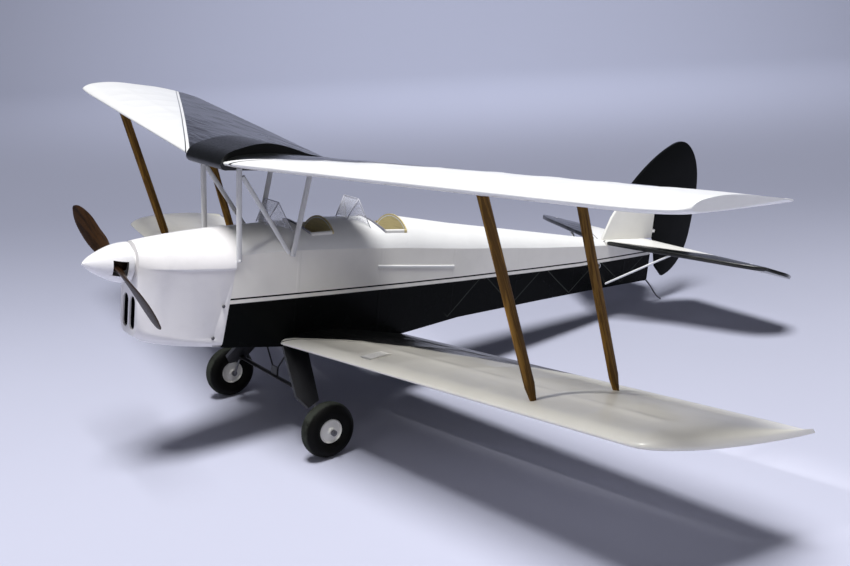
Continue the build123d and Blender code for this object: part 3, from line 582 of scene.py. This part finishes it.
# Thin grey bars drawn along each windscreen's edges and folds.
for name, foot, head, rear in SCREENS:
    for side, sign in SIDES:
        corners = [(sign * x, y, z) for x, y, z in (foot, head, rear)]
        tube(f"{name}_screen_edge_{side}", corners[:2], 0.45, "edge", "grey_card")
        tube(f"{name}_screen_side_{side}", corners[1:], 0.35, "edge", "grey_card")
    tube(f"{name}_screen_top", [head, (-head[0], *head[1:])], 0.4, "edge", "grey_card")


# ---- wings -----------------------------------------------------------------------------
CHORD = 132.0
THICK = 12.0
BAYS = 8                             # between ribs, from the root to the tip's curve
STEPS = 9                            # columns of the covering to a bay
FRONT, SPAR, REAR = 0.055, 0.30, 0.82    # leading edge stick, spar, trailing edge stick
SLACK_FRONT, SLACK_REAR = 0.12, 0.9  # the part of the chord that can crease

# Along the span: root, the tip curve's start (bend), the leading edge's bend (corner), tip.
# Leading edge at the centre line (le, base) and its slopes outward (sweep, rise).
# Incidence in degrees (inc), and its change by x = 400 (twist).
# At the tip: how far the leading edge runs back (front), the trailing edge runs forward
# (rear) and the panel rises (lift), the share of thickness lost (thin), and the camber
# gained along the trailing edge (full). How far the tissue draws in between sticks (sag).
WINGS = {
    "upper": {"root": 32.0, "bend": 393.0, "tip": 448.0, "le": 96.2, "sweep": 0.133,
              "base": 78.1, "rise": 0.065, "inc": -1.3, "twist": -1.44, "corner": 438.0,
              "front": 9.0, "rear": 50.0, "lift": 4.5, "thin": 0.375, "full": 0.45,
              "sag": 0.45},
    "lower": {"root": 30.6, "bend": 394.0, "tip": 434.0, "le": 161.0, "sweep": 0.100,
              "base": -75.2, "rise": 0.078, "inc": -0.1, "twist": -1.1, "corner": 394.0,
              "front": 132.0, "rear": 0.0, "lift": 0.0, "thin": 0.75, "full": 0.0,
              "sag": 0.6},
}
# Over the top from the trailing edge, round the nose, to the flat underside: fractions of
# the chord and of the thickness.
TOP_CURVE = [(1, 0.08), (0.75, 0.52), (0.5, 0.9), (0.3, 1), (0.12, 0.86), (0.04, 0.64),
             (0, 0.3), (0.04, 0.08), (0.12, 0)]


def smooth_through(points, parts):
    """A Catmull-Rom curve through 2-D points."""
    ends = [tuple(2 * a - b for a, b in zip(points[0], points[1]))]
    ends += points + [tuple(2 * a - b for a, b in zip(points[-1], points[-2]))]
    curve = []
    for i in range(1, len(ends) - 2):
        p0, p1, p2, p3 = (Vector(p) for p in ends[i - 1:i + 3])
        for k in range(parts[i - 1]):
            t = k / parts[i - 1]
            curve.append(0.5 * (2 * p1 + (p2 - p0) * t + (2 * p0 - 5 * p1 + 4 * p2 - p3) * t * t
                                + (3 * p1 - p0 - 3 * p2 + p3) * t ** 3))
    curve.append(Vector(points[-1]))
    return curve


SECTION = smooth_through(TOP_CURVE, [12, 13, 10, 10, 7, 6, 6, 5])
SECTION += [Vector((0.12 + 0.88 * i / 24, 0)) for i in range(1, 25)]    # the underside


def smoothstep(low, high, value):
    """0 at low, 1 at high, smooth between; low may be the larger of the two."""
    t = min(max((value - low) / (high - low), 0), 1)
    return t * t * (3 - 2 * t)


def turned(start, end, x):
    """0 up to the curve's start, 1 at its end, along a quarter ellipse."""
    part = min(max(0.0, (x - start) / (end - start)), 1.0)
    return 1 - sqrt(1 - part * part)


def wing_point(wing, x, s, h):
    """The point at fraction s of the chord and h of the thickness, at span x."""
    turn = turned(wing["bend"], wing["tip"], x)
    front = wing["front"] * turned(wing["corner"], wing["tip"], x)
    run = front + s * (CHORD - wing["rear"] * turn - front)
    thick = THICK * (1 - wing["thin"] * turn)
    rise = wing["lift"] * turn + (h + wing["full"] * turn * s * s) * thick
    inc = radians(wing["inc"] + wing["twist"] * x / 400)
    y = wing["le"] + wing["sweep"] * x + run * cos(inc) + rise * sin(inc)
    z = wing["base"] + wing["rise"] * x - run * sin(inc) + rise * cos(inc)
    return Vector((x, y, z))


def wing_columns(wing):
    """Span positions: even steps out to the bend, then round the tip."""
    start = wing["root"]
    count = BAYS * STEPS
    flat = [start + (wing["bend"] - start) * i / count for i in range(count)]
    span = wing["tip"] - wing["bend"]
    turns = [0, 6, 12, 18, 24, 30, 36, 42, 48, 54, 60, 66, 72, 77, 81, 84]
    if wing is WINGS["lower"]:       # its tip is the more pointed one
        turns += [86, 87.5]
    return flat + [wing["bend"] + span * sin(radians(t)) for t in turns]


def skin_sag(wing, x, s):
    """How far the tissue draws in between the ribs, the spar and the edges."""
    start = wing["root"]
    if x >= wing["bend"]:
        return 0.0
    bay = (x - start) / (wing["bend"] - start) * BAYS
    between = abs(sin(pi * bay)) ** 0.6
    if s < SPAR:
        chordwise = smoothstep(FRONT, FRONT + 0.06, s) * smoothstep(SPAR, SPAR - 0.05, s)
    else:
        chordwise = smoothstep(SPAR, SPAR + 0.05, s) * smoothstep(REAR + 0.06, REAR, s)
    return wing["sag"] * between * chordwise


def wrinkles(wing, x, y, black):
    """Slack creases running out along the span."""
    where = Vector((x * 0.010 + 3.1, y * 0.11 - x * 0.012, wing["base"] * 0.1))
    return (noise.noise(where) + 0.5 * noise.noise(where * 2.1)) * (0.30 if black else 0.06)


def in_field(line, x, y):
    """Whether a point lies behind the line, in the black."""
    (x0, y0), (x1, y1) = line
    return (x1 - x0) * (y - y0) - (y1 - y0) * (x - x0) > 0


def wing_panel(which, side, sign):
    """The covering of one wing: drawn in between its sticks, creased where it is black."""
    wing = WINGS[which]
    loops = []
    for x in wing_columns(wing):
        loop = []
        for s, h in SECTION:
            point = wing_point(wing, x, s, h)
            draw = skin_sag(wing, x, s)
            if x < wing["bend"] + 20 and SLACK_FRONT < s < SLACK_REAR:
                black = which == "upper" and in_field(UPPER_LINE, x, point.y)
                edge = (smoothstep(SLACK_FRONT, SLACK_FRONT + 0.08, s)
                        * smoothstep(SLACK_REAR, SLACK_REAR - 0.08, s))
                draw += abs(wrinkles(wing, x, point.y, black)) * edge
            point.z += -draw if h > 0.3 else draw * 0.8
            loop.append(row(sign * point.x, point.y, point.z))
        loops.append(loop if sign > 0 else loop[::-1])
    skin = piece(f"{which}_wing_skin_{side}", *rings(loops), which, "white_dope",
                 (f"{which}_wing_cover_{side}",)).data
    ends = {key for face in list(skin.polygons)[-2:] for key in face.edge_keys}
    for edge in skin.edges:
        edge.use_edge_sharp = edge.key in ends


for which in WINGS:
    for side, sign in SIDES:
        wing_panel(which, side, sign)


def height_over(s):
    """The upper surface's height at fraction s of the chord."""
    return next(a.y + (b.y - a.y) * (s - a.x) / (b.x - a.x)
                for b, a in zip(SECTION, SECTION[1:]) if a.x <= s)


PATCH_IN, PATCH_WIDE = 127, 13       # along the span
PATCH_FRONT, PATCH_DEEP = 7, 20      # back from the leading edge
PATCH_LAYERS = (0.2, -0.5)           # its upper face over the wing's, its lower one sunk in


def wing_patch(side, sign):
    """A small square of doubled tissue on the lower wing, near its root."""
    verts, grid = [], 6
    wing = WINGS["lower"]
    for layer in PATCH_LAYERS:
        for i in range(grid + 1):
            for j in range(grid + 1):
                x = PATCH_IN + PATCH_WIDE * i / grid
                s = (PATCH_FRONT + PATCH_DEEP * j / grid) / CHORD
                point = wing_point(wing, x, s, height_over(s))
                verts.append(row(sign * point.x, point.y, point.z + layer))
    n = grid + 1
    faces = []
    for i in range(grid):
        for j in range(grid):
            a = i * n + j
            faces.append((a, a + n, a + n + 1, a + 1))
    rim = [i * n for i in range(n)] + [grid * n + j for j in range(1, n)]
    rim += [i * n + grid for i in range(grid - 1, -1, -1)] + list(range(grid - 1, 0, -1))
    for a, b in zip(rim, rim[1:] + rim[:1]):
        faces.append((a, b, b + n * n, a + n * n))
    return piece(f"lower_wing_patch_{side}", verts, faces, "patch", "white_dope")


for side, sign in SIDES:
    wing_patch(side, sign)


# ---- floor, light, camera (row frame, metres and watts) --------------------------------
SWEEP_FRONT, SWEEP_BEND = -6.0, 2.6  # the floor's front edge and the bend's start
SWEEP_RADIUS, SWEEP_TOP = 1.4, 5.0
SWEEP_HALF_WIDTH = 7
SWEEP_HEADING = radians(54)          # the sweep faces the camera
# Paper colours: painted shade far from the camera and painted light near it, for the lamps'
# falloff over the sweep.
PAPER_PAINTED_SHADE, PAPER_PAINTED_LIGHT = (0.225, 0.235, 0.30), (0.45, 0.46, 0.56)

# Soft discs round the model: azimuth, elevation, distance, diameter, power, colour.
NEUTRAL = (1, 1, 1)
AREA_LIGHTS = {
    "key": (-50, 78, 5.0, 1.7, 370, NEUTRAL),
    "front": (-78, 36, 3.0, 0.8, 3, NEUTRAL),
    "camera_fill": (-20, 22, 4.0, 2.2, 8, (1.0, 0.92, 0.83)),
}

# Narrow lamps that lift each lower wing out of the upper one's shadow: the lamp's place and
# the lit strip's inner and outer ends (flight frame, port side), half its depth, power.
SNOOTS = {
    "wing_snoot": ((215, -560, 470), (-20, 226, -62), (440, 269, -26), 0.034, 36),
    "tip_snoot": ((390, -560, 470), (322, 256, -38), (440, 272, -26), 0.030, 12),
}
SNOOT_COLOUR = (1.0, 0.97, 0.91)

BACKDROP_LAMP = Vector((-1.0, 0.9, 2.2))
BACKDROP_AWAY = Vector((1.6, -1.3, 2.2))    # from its target back to the lamp
BACKDROP_POWER = 330
BACKDROP_COLOUR = (0.93, 0.95, 1.0)
SKY_COLOUR, SKY_STRENGTH = (0.85, 0.88, 1.0, 1), 0.12

CAMERA_PLACE = (0.8128, -0.6206, 0.4040)
CAMERA_AZIMUTH, CAMERA_ELEVATION = radians(-35.83), radians(17.17)
CAMERA_ROLL = radians(-2.69)
CAMERA_LENS = 45.91


def heading_vector(azimuth, elevation):
    return Vector((cos(azimuth) * cos(elevation), sin(azimuth) * cos(elevation),
                   sin(elevation)))


def backdrop_material():
    """Matt paper, painted lighter towards the front of the table and darker away from it:
    painted light and shade for the lamps' falloff.
    """
    s = Shader("backdrop", Roughness=0.95, Specular_IOR_Level=0.05)
    at = s.node("TexCoord", out="Object")
    ahead = s.dot(at, (0.8, -0.6, 0))
    blotch = s.noise(at, 1.3, 3.0, 0.5)
    # Painted light and shade: the paper blends from the dark far colour to the light near one.
    level = s.step(s.add(ahead, s.mul(blotch, 0.2)), -0.7, 0.5)
    s.set(Base_Color=s.mix(level, PAPER_PAINTED_SHADE, PAPER_PAINTED_LIGHT))
    return s.mat


def make_stage():
    """A seamless sweep of pale paper: floor, bend, wall."""
    profile = [(SWEEP_FRONT, 0.0), (SWEEP_BEND, 0.0)]
    profile += [(SWEEP_BEND + SWEEP_RADIUS * sin(a), SWEEP_RADIUS * (1 - cos(a)))
                for a in (radians(6 * i) for i in range(1, 16))]
    profile += [(SWEEP_BEND + SWEEP_RADIUS, SWEEP_TOP)]
    heading = Matrix.Rotation(SWEEP_HEADING, 3, "Z")
    verts = [heading @ Vector((x, p, q))
             for p, q in profile for x in (-SWEEP_HALF_WIDTH, SWEEP_HALF_WIDTH)]
    faces = [(2 * i, 2 * i + 1, 2 * i + 3, 2 * i + 2) for i in range(len(profile) - 1)]
    mesh = smooth_mesh("stage_sweep", verts, faces)
    mesh.materials.append(backdrop_material())
    linked("stage_sweep", mesh)


def area_light(name, azimuth, elevation, distance, size, power, colour):
    data = bpy.data.lights.new(name, "AREA")
    data.shape = "DISK"
    data.size = size
    data.energy = power
    data.color = colour
    toward = heading_vector(radians(azimuth), radians(elevation))
    lamp = linked(name, data)
    lamp.location = toward * distance + Vector((0, 0, 0.1))
    lamp.rotation_euler = toward.to_track_quat("Z", "Y").to_euler()


def spot_light(name, power, angle, blend, soft, colour):
    data = bpy.data.lights.new(name, "SPOT")
    data.energy = power
    data.spot_size = angle
    data.spot_blend = blend
    data.shadow_soft_size = soft
    data.color = colour
    return linked(name, data)


def snoot(name, place, inner, outer, half_deep, power):
    """A spotlight whose cone is flattened to the strip between two points."""
    back = place - (inner + outer) / 2
    half_wide = (outer - inner).length / 2
    angle = 2 * atan2(half_wide, back.length)
    back.normalize()
    wide = (outer - inner).normalized()
    wide = (wide - back * wide.dot(back)).normalized()
    deep = back.cross(wide) * (half_deep / half_wide)
    lamp = spot_light(name, power, angle, 0.3, 0.03, SNOOT_COLOUR)
    lamp.matrix_world = (Matrix.Translation(place)
                         @ Matrix((wide, deep, back)).transposed().to_4x4())


def make_lights():
    """Studio light from above, the snoots, a wash on the backdrop and a faint sky."""
    for name, settings in AREA_LIGHTS.items():
        area_light(name, *settings)
    for side, sign in SIDES:
        for name, (*points, half_deep, power) in SNOOTS.items():
            place, inner, outer = (row(sign * x, y, z) for x, y, z in points)
            snoot(f"{name}_{side}", place, inner, outer, half_deep, power)
    lamp = spot_light("backdrop_spot", BACKDROP_POWER, radians(110), 1.0, 0.3,
                      BACKDROP_COLOUR)
    lamp.location = BACKDROP_LAMP
    lamp.rotation_euler = BACKDROP_AWAY.to_track_quat("Z", "Y").to_euler()
    world = bpy.data.worlds.new("studio")
    bpy.context.scene.world = world
    world.use_nodes = True
    sky = world.node_tree.nodes["Background"]
    sky.inputs["Color"].default_value = SKY_COLOUR
    sky.inputs["Strength"].default_value = SKY_STRENGTH
    bpy.context.scene.view_settings.view_transform = "Standard"


def make_camera():
    """Three-quarter view from ahead of the port wing, a little above."""
    back = heading_vector(CAMERA_AZIMUTH, CAMERA_ELEVATION)
    level = Vector((-sin(CAMERA_AZIMUTH), cos(CAMERA_AZIMUTH), 0))
    right = level * cos(CAMERA_ROLL) + back.cross(level) * sin(CAMERA_ROLL)
    up = back.cross(right)
    data = bpy.data.cameras.new("camera")
    data.lens = CAMERA_LENS
    data.clip_start = 0.01
    camera = linked("camera", data)
    camera.matrix_world = (Matrix.Translation(CAMERA_PLACE)
                           @ Matrix((right, up, back)).transposed().to_4x4())
    bpy.context.scene.camera = camera


make_stage()
make_lights()
make_camera()
